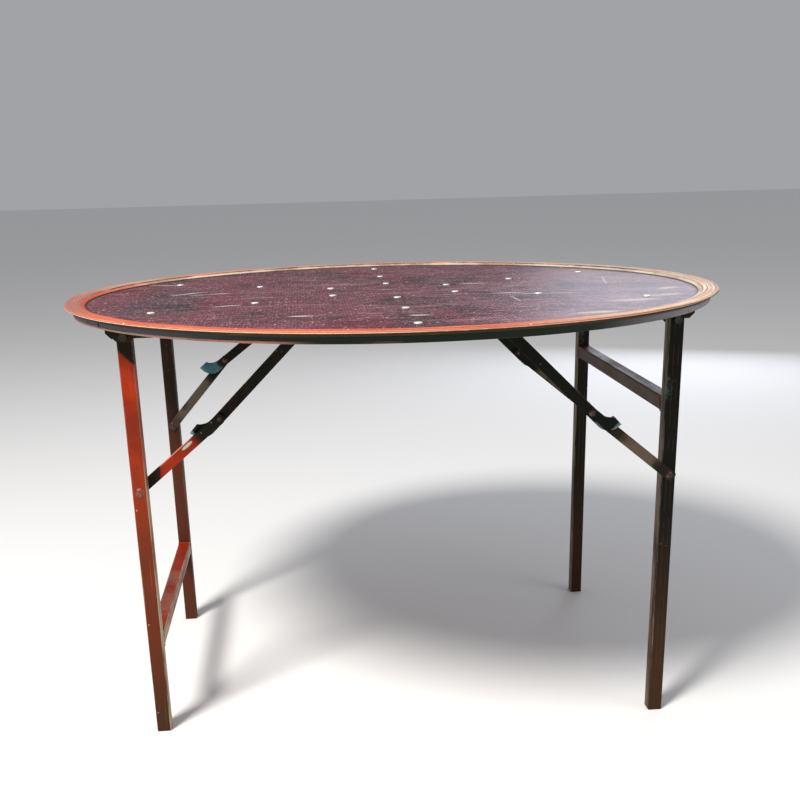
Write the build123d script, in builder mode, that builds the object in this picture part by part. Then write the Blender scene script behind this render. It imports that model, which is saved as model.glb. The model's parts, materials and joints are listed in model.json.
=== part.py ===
"""Round folding table: a rimmed top on a steel spider, with two folding leg frames.

The origin is on the floor under the centre of the top, +Z is up, and sizes are in
millimetres.  The leg frames stand at -X and +X, and fold inwards under the top.  The
right frame is the wider one, so it folds outside the left frame.  Each leg has a
two-link brace with a knee that locks just past straight.
"""

import os
from collections import namedtuple
from math import asin, atan2, cos, degrees, hypot, radians, sin, sqrt, tan

from build123d import *

os.makedirs("parts", exist_ok=True)

# ---- overall sizes ----
table_height = 762.0
rim_radius = 600.0

# ---- top: board, skin and rim ----
skin_top = table_height - 6.0
skin_thickness = 1.0
board_thickness = 11.0
board_top = skin_top - skin_thickness
board_bottom = board_top - board_thickness
board_radius = 583.0
skin_radius = 564.0
rim_cap_width = 25.0
rim_cap_thickness = 3.5
rim_cap_inner = rim_radius - rim_cap_width
rim_cap_bottom = table_height - rim_cap_thickness
lip_radius = 592.0
lip_drop = 1.5
apron_radius = 586.0
apron_flange_inner = 572.0
apron_bottom = board_bottom - 2.0

# ---- spider under the board ----
arm_angles = range(30, 390, 60)
arm_width = 28.0
arm_thickness = 2.0
arm_bottom = board_bottom - arm_thickness
arm_reach = 570.0
hub_apothem = 40.0
screw_radii = (131.0, 292.0, 487.0)
screw_shank_radius = 2.5
screw_head_radius = 6.5
screw_head_height = 2.0
screw_hole_radius = screw_shank_radius + 0.1

# ---- rails that carry the legs ----
rail_thickness = 3.0
rail_web_inner = 286.0
rail_web_outer = rail_web_inner + rail_thickness
rail_flange_width = 25.0
rail_half_length = 492.0
rail_bottom = 722.5
rail_bevel = 9.0
rail_ear_bottom = 717.0
rail_ear_half_width = 11.0
crossbar_notch_clearance = 2.0

# ---- legs ----
leg_size = 25.4
tube_wall = 2.0
tube_corner = 2.5
leg_pivot_height = 725.0
leg_to_rail_gap = 4.0
crossbar_size = 25.4
pivot_radius = 4.0
pivot_spacer_radius = 9.0
running_clearance = 0.05
washer_gap = 0.3

# ---- braces ----
link_width = 18.0
link_thickness = 4.0
brace_reach = 288.0
brace_drop = 267.0
bracket_pivot_drop = 6.0
knee_sag = 9.0
unlocked_knee_rise = 20.0
unlocked_brace = ("left", "back")
leg_to_link_gap = 1.0
link_gap = 3.0
bracket_thickness = 3.0
rivet_head_radius = 6.2
leg_rivet_head_radius = 8.2
knee_spacer_radius = 8.5
tail_reach = 51.0
tab_length = 17.0
tab_rise = 7.5
bracket_ear_radius = 12.0
bracket_flange_width = 40.0
bracket_flange_depth = 21.0
bracket_screw_spacing = 24.0
bracket_screw_head_radius = 4.8

Frame = namedtuple("Frame", "name hinge_x fold leg_y side crossbar_z")
left_frame = Frame(
    name="left",
    hinge_x=-464.0,
    fold=1,
    leg_y=rail_web_inner - leg_to_rail_gap - leg_size / 2,
    side=-1,
    crossbar_z=173.0,
)
right_frame = Frame(
    name="right",
    hinge_x=452.0,
    fold=-1,
    leg_y=rail_web_outer + leg_to_rail_gap + leg_size / 2,
    side=1,
    crossbar_z=579.0,
)
frames = (left_frame, right_frame)
ends = {"front": -1, "back": 1}

# Depths across a brace, measured from the leg's face on the brace side.
rail_near_depth = -leg_size - leg_to_rail_gap
rail_far_depth = rail_near_depth - rail_thickness
lower_near = leg_to_link_gap
lower_far = lower_near + link_thickness
upper_near = lower_far + link_gap
upper_far = upper_near + link_thickness
bracket_near = upper_far + leg_to_link_gap
bracket_far = bracket_near + bracket_thickness


def save(part, name):
    """Label a finished piece and write its file."""
    part.label = name
    export_step(part, f"parts/{name}.step")


# ---------------------------------------------------------------- brace geometry


def knee_lengths(folded_knee):
    """Lower and upper link lengths that bring the folded knee to this distance from the leg pivot."""
    lower = hypot(brace_drop - folded_knee, bracket_pivot_drop)
    upper = brace_reach - folded_knee
    return lower, upper


def knee_foot(lower, upper):
    """Distance from the leg rivet to the knee, along the straight line between the end pivots."""
    base = hypot(brace_reach, brace_drop - bracket_pivot_drop)
    return (base**2 + lower**2 - upper**2) / (2 * base)


def link_lengths(knee_offset):
    """Lower and upper link lengths for a knee that far off the straight line, by halving.

    The links also have to lie flat under the top when the legs are folded.
    """
    low, high = 0.0, brace_drop / 2
    for _ in range(60):
        middle = (low + high) / 2
        lower, upper = knee_lengths(middle)
        if sqrt(max(lower**2 - knee_foot(lower, upper) ** 2, 0.0)) > abs(knee_offset):
            low = middle
        else:
            high = middle
    return knee_lengths(low)


def knee_drop(frame, end_name):
    """How far an open knee hangs below the straight line: a locked knee is just past straight.

    One brace stands unlocked, with its knee on the upper side of the line.
    """
    return -unlocked_knee_rise if (frame.name, end_name) == unlocked_brace else knee_sag


def brace_points(frame, end_name):
    """World (x, z) of the leg rivet, the knee and the bracket pivot, with the table open."""
    base = hypot(brace_reach, brace_drop - bracket_pivot_drop)
    along = (brace_reach / base, (brace_drop - bracket_pivot_drop) / base)
    drop = knee_drop(frame, end_name)
    foot = knee_foot(*link_lengths(drop))
    knee_in = foot * along[0] + drop * along[1]
    knee_up = -brace_drop + foot * along[1] - drop * along[0]

    def world(inward, up):
        return frame.hinge_x + frame.fold * inward, leg_pivot_height + up

    return world(0, -brace_drop), world(knee_in, knee_up), world(brace_reach, -bracket_pivot_drop)


def locked_slope():
    """Angle between the two links of a locked brace."""
    lower, upper = link_lengths(knee_sag)
    return asin(knee_sag / lower) + asin(knee_sag / upper)


# ---------------------------------------------------------------- shared helpers


def depth_y(frame, end, depth):
    """World Y at a depth from the leg's brace-side face, at the front (-1) or back (1) leg."""
    return end * (frame.leg_y + frame.side * (leg_size / 2 + depth))


def pin_along_y(x, z, y_from, y_to, radius, mode=Mode.ADD):
    """A round pin or hole along Y in the part being built."""
    with Locations((x, (y_from + y_to) / 2, z)):
        Cylinder(radius, abs(y_to - y_from), rotation=(90, 0, 0), mode=mode)


def hex_along_y(x, z, y_from, y_to, across_flats):
    """A hexagonal head or nut along Y in the part being built."""
    with BuildSketch(Plane.XZ.offset(-max(y_from, y_to))) as outline:
        with Locations((x, z)):
            RegularPolygon(across_flats / 2, 6, major_radius=False)
    extrude(outline.sketch, amount=abs(y_to - y_from))


def dome_along_y(x, z, y_face, y_top, radius):
    """A domed rivet head standing on a face at y_face, in the part being built."""
    height = abs(y_top - y_face)
    outward = 1 if y_top > y_face else -1
    sphere_radius = (radius**2 + height**2) / (2 * height)
    half_angle = atan2(radius, sphere_radius - height) / 2
    shoulder = (sphere_radius * sin(half_angle), height - sphere_radius * (1 - cos(half_angle)))
    section = Plane(origin=(x, y_face, z), x_dir=(1, 0, 0), z_dir=(0, 0, outward))
    with BuildSketch(section) as profile:
        with BuildLine():
            Line((0, 0), (radius, 0))
            ThreePointArc((radius, 0), shoulder, (0, height))
            Line((0, height), (0, 0))
        make_face()
    revolve(profile.sketch, axis=Axis((x, y_face, z), (0, 1, 0)))


def bar_plane(start, finish, y_from, y_to):
    """Plane for a flat bar: origin at start, local x towards finish, local y on the upper side.

    Extruding from it by abs(y_to - y_from) fills the given range of Y.
    """
    length = hypot(finish[0] - start[0], finish[1] - start[1])
    along = ((finish[0] - start[0]) / length, (finish[1] - start[1]) / length)
    turn = 1 if along[0] < 0 else -1
    origin_y = min(y_from, y_to) if turn > 0 else max(y_from, y_to)
    return Plane(
        origin=(start[0], origin_y, start[1]),
        x_dir=(along[0], 0, along[1]),
        z_dir=(0, turn, 0),
    )


# ---------------------------------------------------------------- top


def screw_points():
    """Plan positions of the top screws, three on each arm of the spider."""
    return [
        (radius * cos(radians(angle)), radius * sin(radians(angle)))
        for angle in arm_angles
        for radius in screw_radii
    ]


def make_disc(name, radius, bottom, thickness):
    """A round sheet of the top, drilled for the screws."""
    with BuildPart() as disc:
        with BuildSketch(Plane.XY.offset(bottom)):
            Circle(radius)
            with Locations(*screw_points()):
                Circle(screw_hole_radius, mode=Mode.SUBTRACT)
        extrude(amount=thickness)
    save(disc.part, name)


def make_ring(name, outline, rounding=0.0, rounded_corners=()):
    """A ring of revolution from its (radius, height) outline, with some corners rounded."""
    with BuildPart() as ring:
        with BuildSketch(Plane.XZ) as section:
            with BuildLine():
                Polyline(*outline, close=True)
            make_face()
            corners = [
                vertex
                for vertex in section.vertices()
                if any(hypot(vertex.X - r, vertex.Y - z) < 0.01 for r, z in rounded_corners)
            ]
            if corners:
                fillet(corners, rounding)
        revolve(axis=Axis.Z)
    save(ring.part, name)


def make_top():
    """Board, skin, the three rim rings and the apron angle."""
    make_disc("table_board", board_radius, board_bottom, board_thickness)
    make_disc("top_skin", skin_radius, board_top, skin_thickness)
    make_ring(
        "rim_cap",
        [
            (rim_cap_inner, rim_cap_bottom),
            (rim_radius, rim_cap_bottom),
            (rim_radius, table_height),
            (rim_cap_inner, table_height),
        ],
        rounding=1.4,
        rounded_corners=[
            (rim_radius, rim_cap_bottom),
            (rim_radius, table_height),
            (rim_cap_inner, table_height),
        ],
    )
    bevel_top = table_height - 0.8
    make_ring(
        "rim_bevel",
        [
            (skin_radius, board_top),
            (rim_cap_inner, board_top),
            (rim_cap_inner, bevel_top),
            (rim_cap_inner - 2, bevel_top),
            (skin_radius, skin_top + 1),
        ],
    )
    make_ring(
        "rim_lip",
        [
            (rim_cap_inner, board_top),
            (board_radius, board_top),
            (board_radius, board_top - lip_drop),
            (lip_radius, board_top - lip_drop),
            (lip_radius, rim_cap_bottom),
            (rim_cap_inner, rim_cap_bottom),
        ],
    )
    make_ring(
        "apron_ring",
        [
            (apron_flange_inner, apron_bottom),
            (apron_radius, apron_bottom),
            (apron_radius, board_top - lip_drop),
            (board_radius, board_top - lip_drop),
            (board_radius, board_bottom),
            (apron_flange_inner, board_bottom),
        ],
        rounding=0.9,
        rounded_corners=[(apron_radius, apron_bottom)],
    )


def make_top_screws():
    """Eighteen cross-recess screws through the skin, the board and the spider arms."""
    recess_length = 5.6
    recess_width = 1.1
    recess_depth = 0.8
    with BuildPart() as screws:
        with BuildSketch(Plane.XY.offset(arm_bottom)):
            with Locations(*screw_points()):
                Circle(screw_shank_radius)
        extrude(amount=skin_top - arm_bottom)
        with BuildSketch(Plane.XY.offset(skin_top)):
            with Locations(*screw_points()):
                Circle(screw_head_radius)
        extrude(amount=screw_head_height)
        fillet(screws.edges().group_by(Axis.Z)[-1], 1.3)
        with BuildSketch(Plane.XY.offset(skin_top + screw_head_height)):
            with Locations(*screw_points()):
                Rectangle(recess_length, recess_width)
                Rectangle(recess_width, recess_length)
        extrude(amount=-recess_depth, mode=Mode.SUBTRACT)
    save(screws.part, "top_screws")


# ---------------------------------------------------------------- spider and rails


def make_spider():
    """A hexagonal hub and six flat arms under the board."""
    with BuildPart() as hub:
        with BuildSketch(Plane.XY.offset(arm_bottom)):
            RegularPolygon(hub_apothem, 6, major_radius=False)
        extrude(amount=arm_thickness)
    save(hub.part, "spider_hub")

    for number, angle in enumerate(arm_angles, start=1):
        direction = (cos(radians(angle)), sin(radians(angle)), 0)
        arm_plane = Plane(origin=(0, 0, arm_bottom), x_dir=direction, z_dir=(0, 0, 1))
        with BuildPart() as arm:
            with BuildSketch(arm_plane):
                with Locations(((hub_apothem + arm_reach) / 2, 0)):
                    Rectangle(arm_reach - hub_apothem, arm_width)
                with Locations(*[(radius, 0) for radius in screw_radii]):
                    Circle(screw_hole_radius, mode=Mode.SUBTRACT)
            extrude(amount=arm_thickness)
        save(arm.part, f"spider_arm_{number}")


def make_rails():
    """Two steel angles along X with bevelled ends; ears on their webs carry the leg pivots.

    The wide frame's crossbar lies across the webs when it is folded, so each web has a notch.
    """
    notch_x = right_frame.hinge_x + right_frame.fold * (leg_pivot_height - right_frame.crossbar_z)
    notch_width = crossbar_size + 2 * crossbar_notch_clearance
    flange_bottom = arm_bottom - rail_thickness
    ear_slope = rail_bottom - rail_ear_bottom
    ears = [
        (frame.hinge_x + offset, height)
        for frame in (right_frame, left_frame)
        for offset, height in (
            (rail_ear_half_width + ear_slope, rail_bottom),
            (rail_ear_half_width, rail_ear_bottom),
            (-rail_ear_half_width, rail_ear_bottom),
            (-rail_ear_half_width - ear_slope, rail_bottom),
        )
    ]
    web_outline = [
        (-rail_half_length, arm_bottom),
        (rail_half_length, arm_bottom),
        (rail_half_length, rail_bottom + rail_bevel),
        (rail_half_length - rail_bevel, rail_bottom),
        *ears,
        (-rail_half_length + rail_bevel, rail_bottom),
        (-rail_half_length, rail_bottom + rail_bevel),
    ]
    for end_name, end in ends.items():
        web_back = max(end * rail_web_inner, end * rail_web_outer)
        flange_centre = end * (rail_web_outer - rail_flange_width / 2)
        with BuildPart() as rail:
            with BuildSketch(Plane.XZ.offset(-web_back)):
                with BuildLine():
                    Polyline(*web_outline, close=True)
                make_face()
                with Locations(*[(frame.hinge_x, leg_pivot_height) for frame in frames]):
                    Circle(pivot_radius, mode=Mode.SUBTRACT)
                with Locations((notch_x, (rail_bottom + flange_bottom) / 2)):
                    Rectangle(notch_width, flange_bottom - rail_bottom, mode=Mode.SUBTRACT)
            extrude(amount=rail_thickness)
            with BuildSketch(Plane.XY.offset(flange_bottom)):
                with Locations((0, flange_centre)):
                    Rectangle(2 * rail_half_length, rail_flange_width)
            extrude(amount=rail_thickness)
        save(rail.part, f"{end_name}_rail")


# ---------------------------------------------------------------- leg pivots


def make_leg_pivots():
    """Bolts, nuts and spacer washers at the four leg pivots."""
    head_height = 5.0
    nut_near = 1.0
    nut_far = 7.0
    across_flats = 13.0
    places = [(frame, end) for frame in frames for end in ends.values()]

    with BuildPart() as bolts:
        for frame, end in places:
            rail_face = depth_y(frame, end, rail_far_depth)
            head_top = depth_y(frame, end, rail_far_depth - head_height)
            tip = depth_y(frame, end, nut_far)
            pin_along_y(frame.hinge_x, leg_pivot_height, rail_face, tip, pivot_radius)
            hex_along_y(frame.hinge_x, leg_pivot_height, rail_face, head_top, across_flats)
    save(bolts.part, "leg_pivot_bolts")

    with BuildPart() as nuts:
        for frame, end in places:
            near = depth_y(frame, end, nut_near)
            far = depth_y(frame, end, nut_far)
            hex_along_y(frame.hinge_x, leg_pivot_height, near, far, across_flats)
            pin_along_y(
                frame.hinge_x, leg_pivot_height, near, far, pivot_radius, mode=Mode.SUBTRACT
            )
    save(nuts.part, "leg_pivot_nuts")

    with BuildPart() as spacers:
        for frame, end in places:
            near = depth_y(frame, end, rail_near_depth)
            far = depth_y(frame, end, -leg_size - washer_gap)
            pin_along_y(frame.hinge_x, leg_pivot_height, near, far, pivot_spacer_radius)
            pin_along_y(
                frame.hinge_x, leg_pivot_height, near, far, pivot_radius, mode=Mode.SUBTRACT
            )
    save(spacers.part, "leg_pivot_spacers")


# ---------------------------------------------------------------- leg frames


def make_leg(frame, end_name):
    """A square tube, rounded over at the pivot end and open at the foot."""
    end = ends[end_name]
    leg_y = end * frame.leg_y
    half = leg_size / 2
    with BuildPart() as leg:
        with BuildSketch(Plane.XY):
            with Locations((frame.hinge_x, leg_y)):
                RectangleRounded(leg_size, leg_size, tube_corner)
                RectangleRounded(
                    leg_size - 2 * tube_wall,
                    leg_size - 2 * tube_wall,
                    tube_corner - tube_wall,
                    mode=Mode.SUBTRACT,
                )
        extrude(amount=leg_pivot_height + half)
        with BuildSketch(Plane.XZ.offset(-leg_y - half)):
            with Locations((frame.hinge_x, leg_pivot_height + half / 2)):
                Rectangle(leg_size, half)
            with Locations((frame.hinge_x, leg_pivot_height)):
                Circle(half, mode=Mode.SUBTRACT)
        extrude(amount=leg_size, mode=Mode.SUBTRACT)
        rivet_height = leg_pivot_height - brace_drop
        for height, clearance in ((leg_pivot_height, running_clearance), (rivet_height, 0.0)):
            pin_along_y(
                frame.hinge_x,
                height,
                leg_y - half,
                leg_y + half,
                pivot_radius + clearance,
                mode=Mode.SUBTRACT,
            )
    save(leg.part, f"{frame.name}_{end_name}_leg")


def make_crossbar(frame):
    """A square tube welded between the two legs of a frame."""
    reach = frame.leg_y - leg_size / 2
    with BuildPart() as crossbar:
        with BuildSketch(Plane.XZ.offset(-reach)):
            with Locations((frame.hinge_x, frame.crossbar_z)):
                RectangleRounded(crossbar_size, crossbar_size, tube_corner)
                RectangleRounded(
                    crossbar_size - 2 * tube_wall,
                    crossbar_size - 2 * tube_wall,
                    tube_corner - tube_wall,
                    mode=Mode.SUBTRACT,
                )
        extrude(amount=2 * reach)
    save(crossbar.part, f"{frame.name}_crossbar")


def make_leg_rivets(frame):
    """The leg's half of each lower brace rivet: a shank through the tube and a domed head."""
    dome_height = 3.0
    rivet_height = leg_pivot_height - brace_drop
    with BuildPart() as rivets:
        for end in ends.values():
            brace_face = depth_y(frame, end, 0)
            head_face = depth_y(frame, end, -leg_size)
            head_top = depth_y(frame, end, -leg_size - dome_height)
            pin_along_y(frame.hinge_x, rivet_height, brace_face, head_face, pivot_radius)
            dome_along_y(frame.hinge_x, rivet_height, head_face, head_top, leg_rivet_head_radius)
    save(rivets.part, f"{frame.name}_leg_rivets")


# ---------------------------------------------------------------- braces


def make_upper_link(frame, end_name):
    """Flat bar from the bracket to the knee, with a hooked tail.

    A tab bent over at the tail's tip rests on the lower link when the brace is locked.
    """
    end = ends[end_name]
    _, knee, bracket = brace_points(frame, end_name)
    _, knee_x = link_lengths(knee_drop(frame, end_name))
    half = link_width / 2
    y_near = depth_y(frame, end, upper_near)
    y_far = depth_y(frame, end, upper_far)
    slope = locked_slope()
    stop_gap = 0.3
    stop_bottom = tail_reach * tan(slope) + half / cos(slope) + stop_gap
    tip_top = stop_bottom + tab_rise
    tail_end = knee_x + tail_reach
    tab_start = tail_end - tab_length
    tail_curve_start = knee_x + 25
    horn_curve_start = knee_x + 10
    tab_wall = 4.0
    corner = 1.0
    with BuildPart() as link:
        with BuildSketch(bar_plane(bracket, knee, y_near, y_far)):
            with BuildLine():
                ThreePointArc((0, half), (-half, 0), (0, -half))
                Line((0, -half), (tail_curve_start, -half))
                TangentArc((tail_curve_start, -half), (tail_end, stop_bottom), tangent=(1, 0))
                Line((tail_end, stop_bottom), (tail_end + corner, tip_top - corner))
                Line((tail_end + corner, tip_top - corner), (tab_start, tip_top))
                TangentArc((horn_curve_start, half), (tab_start, tip_top), tangent=(1, 0))
                Line((horn_curve_start, half), (0, half))
            make_face()
            Circle(pivot_radius + running_clearance, mode=Mode.SUBTRACT)
            with Locations((knee_x, 0)):
                Circle(pivot_radius, mode=Mode.SUBTRACT)
        extrude(amount=link_thickness)
        with BuildSketch(bar_plane(bracket, knee, depth_y(frame, end, lower_near), y_near)):
            with BuildLine():
                Polyline(
                    (tail_end - tab_wall, stop_bottom),
                    (tail_end, stop_bottom),
                    (tail_end + corner, tip_top - corner),
                    (tab_start, tip_top),
                    (tab_start - corner, tip_top - 3 * corner),
                    (tail_end - tab_wall, tip_top - tab_wall),
                    close=True,
                )
            make_face()
        extrude(amount=upper_near - lower_near)
    save(link.part, f"{frame.name}_{end_name}_upper_link")


def make_lower_link(frame, end_name):
    """Flat bar from the knee to the leg rivet, round at the knee and square at the leg."""
    end = ends[end_name]
    leg_rivet, knee, _ = brace_points(frame, end_name)
    lower_length, _ = link_lengths(knee_drop(frame, end_name))
    half = link_width / 2
    end_margin = 10.0
    clip = 3.0
    y_near = depth_y(frame, end, lower_near)
    y_far = depth_y(frame, end, lower_far)
    far_end = lower_length + end_margin
    with BuildPart() as link:
        with BuildSketch(bar_plane(knee, leg_rivet, y_near, y_far)):
            with BuildLine():
                ThreePointArc((0, half), (-half, 0), (0, -half))
                Polyline(
                    (0, -half),
                    (far_end - clip, -half),
                    (far_end, -half + clip),
                    (far_end, half - clip),
                    (far_end - clip, half),
                    (0, half),
                )
            make_face()
            Circle(pivot_radius + running_clearance, mode=Mode.SUBTRACT)
            with Locations((lower_length, 0)):
                Circle(pivot_radius, mode=Mode.SUBTRACT)
        extrude(amount=link_thickness)
    save(link.part, f"{frame.name}_{end_name}_lower_link")


def make_knee_rivet(frame, end_name):
    """Knee rivet: domed on the upper link, flush in the lower link."""
    end = ends[end_name]
    _, knee, _ = brace_points(frame, end_name)
    dome_height = 2.6
    with BuildPart() as rivet:
        flush = depth_y(frame, end, lower_near + 0.2)
        head_face = depth_y(frame, end, upper_far)
        head_top = depth_y(frame, end, upper_far + dome_height)
        pin_along_y(*knee, flush, head_face, pivot_radius)
        dome_along_y(*knee, head_face, head_top, rivet_head_radius)
    save(rivet.part, f"{frame.name}_{end_name}_knee_rivet")

    with BuildPart() as spacer:
        near = depth_y(frame, end, lower_far + washer_gap)
        far = depth_y(frame, end, upper_near)
        pin_along_y(*knee, near, far, knee_spacer_radius)
        pin_along_y(*knee, near, far, pivot_radius, mode=Mode.SUBTRACT)
    save(spacer.part, f"{frame.name}_{end_name}_knee_spacer")


def make_link_end_rivet(frame, end_name):
    """The lower link's half of its rivet to the leg: a short shank and a low domed head."""
    end = ends[end_name]
    leg_rivet, _, _ = brace_points(frame, end_name)
    dome_height = 2.4
    with BuildPart() as rivet:
        leg_side = depth_y(frame, end, lower_near)
        head_face = depth_y(frame, end, lower_far)
        head_top = depth_y(frame, end, lower_far + dome_height)
        pin_along_y(*leg_rivet, leg_side, head_face, pivot_radius)
        dome_along_y(*leg_rivet, head_face, head_top, rivet_head_radius)
    save(rivet.part, f"{frame.name}_{end_name}_link_rivet")


def bracket_pivot(frame):
    """World (x, z) of the pivot that the upper links turn on."""
    return frame.hinge_x + frame.fold * brace_reach, leg_pivot_height - bracket_pivot_drop


def bracket_screw_points(frame, end):
    """Plan positions of the two screws in a bracket's flange."""
    pivot_x, _ = bracket_pivot(frame)
    y = depth_y(frame, end, bracket_far + bracket_flange_depth / 2)
    half_spacing = bracket_screw_spacing / 2
    return [(pivot_x - half_spacing, y), (pivot_x + half_spacing, y)]


def make_bracket(frame, end_name):
    """Steel angle under the board that holds the upper end of a brace."""
    end = ends[end_name]
    pivot_x, pivot_z = bracket_pivot(frame)
    y_near = depth_y(frame, end, bracket_near)
    y_far = depth_y(frame, end, bracket_far)
    y_flange = depth_y(frame, end, bracket_far + bracket_flange_depth)
    with BuildPart() as bracket:
        with BuildSketch(Plane.XZ.offset(-max(y_near, y_far))):
            with BuildLine():
                Polyline(
                    (pivot_x - bracket_ear_radius, pivot_z),
                    (pivot_x - bracket_flange_width / 2, board_bottom),
                    (pivot_x + bracket_flange_width / 2, board_bottom),
                    (pivot_x + bracket_ear_radius, pivot_z),
                )
                ThreePointArc(
                    (pivot_x + bracket_ear_radius, pivot_z),
                    (pivot_x, pivot_z - bracket_ear_radius),
                    (pivot_x - bracket_ear_radius, pivot_z),
                )
            make_face()
            with Locations((pivot_x, pivot_z)):
                Circle(pivot_radius, mode=Mode.SUBTRACT)
        extrude(amount=bracket_thickness)
        with BuildSketch(Plane.XY.offset(board_bottom - bracket_thickness)):
            with Locations((pivot_x, (y_near + y_flange) / 2)):
                Rectangle(bracket_flange_width, abs(y_flange - y_near))
            with Locations(*bracket_screw_points(frame, end)):
                Circle(screw_hole_radius, mode=Mode.SUBTRACT)
        extrude(amount=bracket_thickness)
    save(bracket.part, f"{frame.name}_{end_name}_bracket")


def make_bracket_rivets():
    """Rivets that the upper links turn on, domed at both ends."""
    dome_height = 2.4
    link_head_depth = upper_near - washer_gap
    with BuildPart() as rivets:
        for frame in frames:
            pivot = bracket_pivot(frame)
            for end in ends.values():
                plate_face = depth_y(frame, end, bracket_far)
                plate_dome = depth_y(frame, end, bracket_far + dome_height)
                link_face = depth_y(frame, end, link_head_depth)
                link_dome = depth_y(frame, end, link_head_depth - dome_height)
                pin_along_y(*pivot, link_face, plate_face, pivot_radius)
                dome_along_y(*pivot, plate_face, plate_dome, rivet_head_radius)
                dome_along_y(*pivot, link_face, link_dome, rivet_head_radius)
    save(rivets.part, "bracket_rivets")


def make_bracket_screws():
    """Low-headed screw heads that hold the brackets' flanges up to the board."""
    head_height = 1.6
    flange_bottom = board_bottom - bracket_thickness
    points = [
        point
        for frame in frames
        for end in ends.values()
        for point in bracket_screw_points(frame, end)
    ]
    with BuildPart() as screws:
        with BuildSketch(Plane.XY.offset(flange_bottom)):
            with Locations(*points):
                Circle(screw_shank_radius)
        extrude(amount=bracket_thickness)
        with BuildSketch(Plane.XY.offset(flange_bottom - head_height)):
            with Locations(*points):
                Circle(bracket_screw_head_radius)
        extrude(amount=head_height)
        fillet(screws.edges().group_by(Axis.Z)[0], 1.0)
    save(screws.part, "bracket_screws")


# ---------------------------------------------------------------- build everything

make_top()
make_top_screws()
make_spider()
make_rails()
make_leg_pivots()
make_bracket_rivets()
make_bracket_screws()
for leg_frame in frames:
    make_crossbar(leg_frame)
    make_leg_rivets(leg_frame)
    for which_end in ends:
        make_leg(leg_frame, which_end)
        make_bracket(leg_frame, which_end)
        make_upper_link(leg_frame, which_end)
        make_lower_link(leg_frame, which_end)
        make_knee_rivet(leg_frame, which_end)
        make_link_end_rivet(leg_frame, which_end)
        rivet_point, knee_point, bracket_point = brace_points(leg_frame, which_end)
        print(leg_frame.name, which_end, "rivet, knee and bracket pivot:")
        print("   ", rivet_point, knee_point, bracket_point)
print("angle between locked links", round(degrees(locked_slope()), 2))
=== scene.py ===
"""Looks for the round folding table: paint, wear, weld beads, light and camera.

Every material is procedural and works in the object's own coordinates, in metres.  The
CAD nodes keep their shapes; the only new pieces are weld beads and a splice plate.
"""

import json
import math
import random

import bmesh
import bpy
from mathutils import Matrix, Vector


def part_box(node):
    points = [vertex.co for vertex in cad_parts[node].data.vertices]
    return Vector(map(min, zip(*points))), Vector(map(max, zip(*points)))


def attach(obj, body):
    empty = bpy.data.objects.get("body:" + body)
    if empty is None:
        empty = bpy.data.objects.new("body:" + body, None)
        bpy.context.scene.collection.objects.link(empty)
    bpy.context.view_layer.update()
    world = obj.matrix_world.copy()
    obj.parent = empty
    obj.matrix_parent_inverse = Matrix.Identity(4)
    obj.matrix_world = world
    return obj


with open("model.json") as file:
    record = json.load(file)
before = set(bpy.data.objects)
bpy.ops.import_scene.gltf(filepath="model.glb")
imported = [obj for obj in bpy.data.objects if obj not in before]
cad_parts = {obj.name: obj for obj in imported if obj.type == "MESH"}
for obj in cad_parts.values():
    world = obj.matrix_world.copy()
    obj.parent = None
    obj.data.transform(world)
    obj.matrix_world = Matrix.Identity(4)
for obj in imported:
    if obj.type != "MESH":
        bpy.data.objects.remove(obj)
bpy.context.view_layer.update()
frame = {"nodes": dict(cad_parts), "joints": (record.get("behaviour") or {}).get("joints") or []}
nodes = frame["nodes"]
pivots = {joint["name"]: Vector(joint["pos_m"]) for joint in frame["joints"]}
scene = bpy.context.scene


def rgb(red, green, blue):
    """Linear RGBA from sRGB values of 0 to 255."""

    def linear(channel):
        value = channel / 255
        return value / 12.92 if value <= 0.04045 else ((value + 0.055) / 1.055) ** 2.4

    return (linear(red), linear(green), linear(blue), 1.0)


SIDES = ("left", "right")
ENDS = ("front", "back")
ARM_COUNT = 6
X_AXIS, Y_AXIS, Z_AXIS = range(3)
ALONG_X = Vector((1, 0, 0))
ALONG_Y = Vector((0, 1, 0))
CENTRE = Vector((0, 0, 0))
TABLE_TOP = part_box("rim_cap")[1].z
RIM_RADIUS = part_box("rim_cap")[1].x
RIM_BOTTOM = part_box("rim_cap")[0].z
SKIN_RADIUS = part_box("top_skin")[1].x
APRON_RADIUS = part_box("apron_ring")[1].x
APRON_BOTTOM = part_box("apron_ring")[0].z
TAIL_TIP = 0.051  # from the knee to the tip of an upper link's tail
DARK_GREEN = rgb(14, 20, 11)
CREAM = rgb(222, 198, 170)


# ---------------------------------------------------------------- material kit


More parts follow.
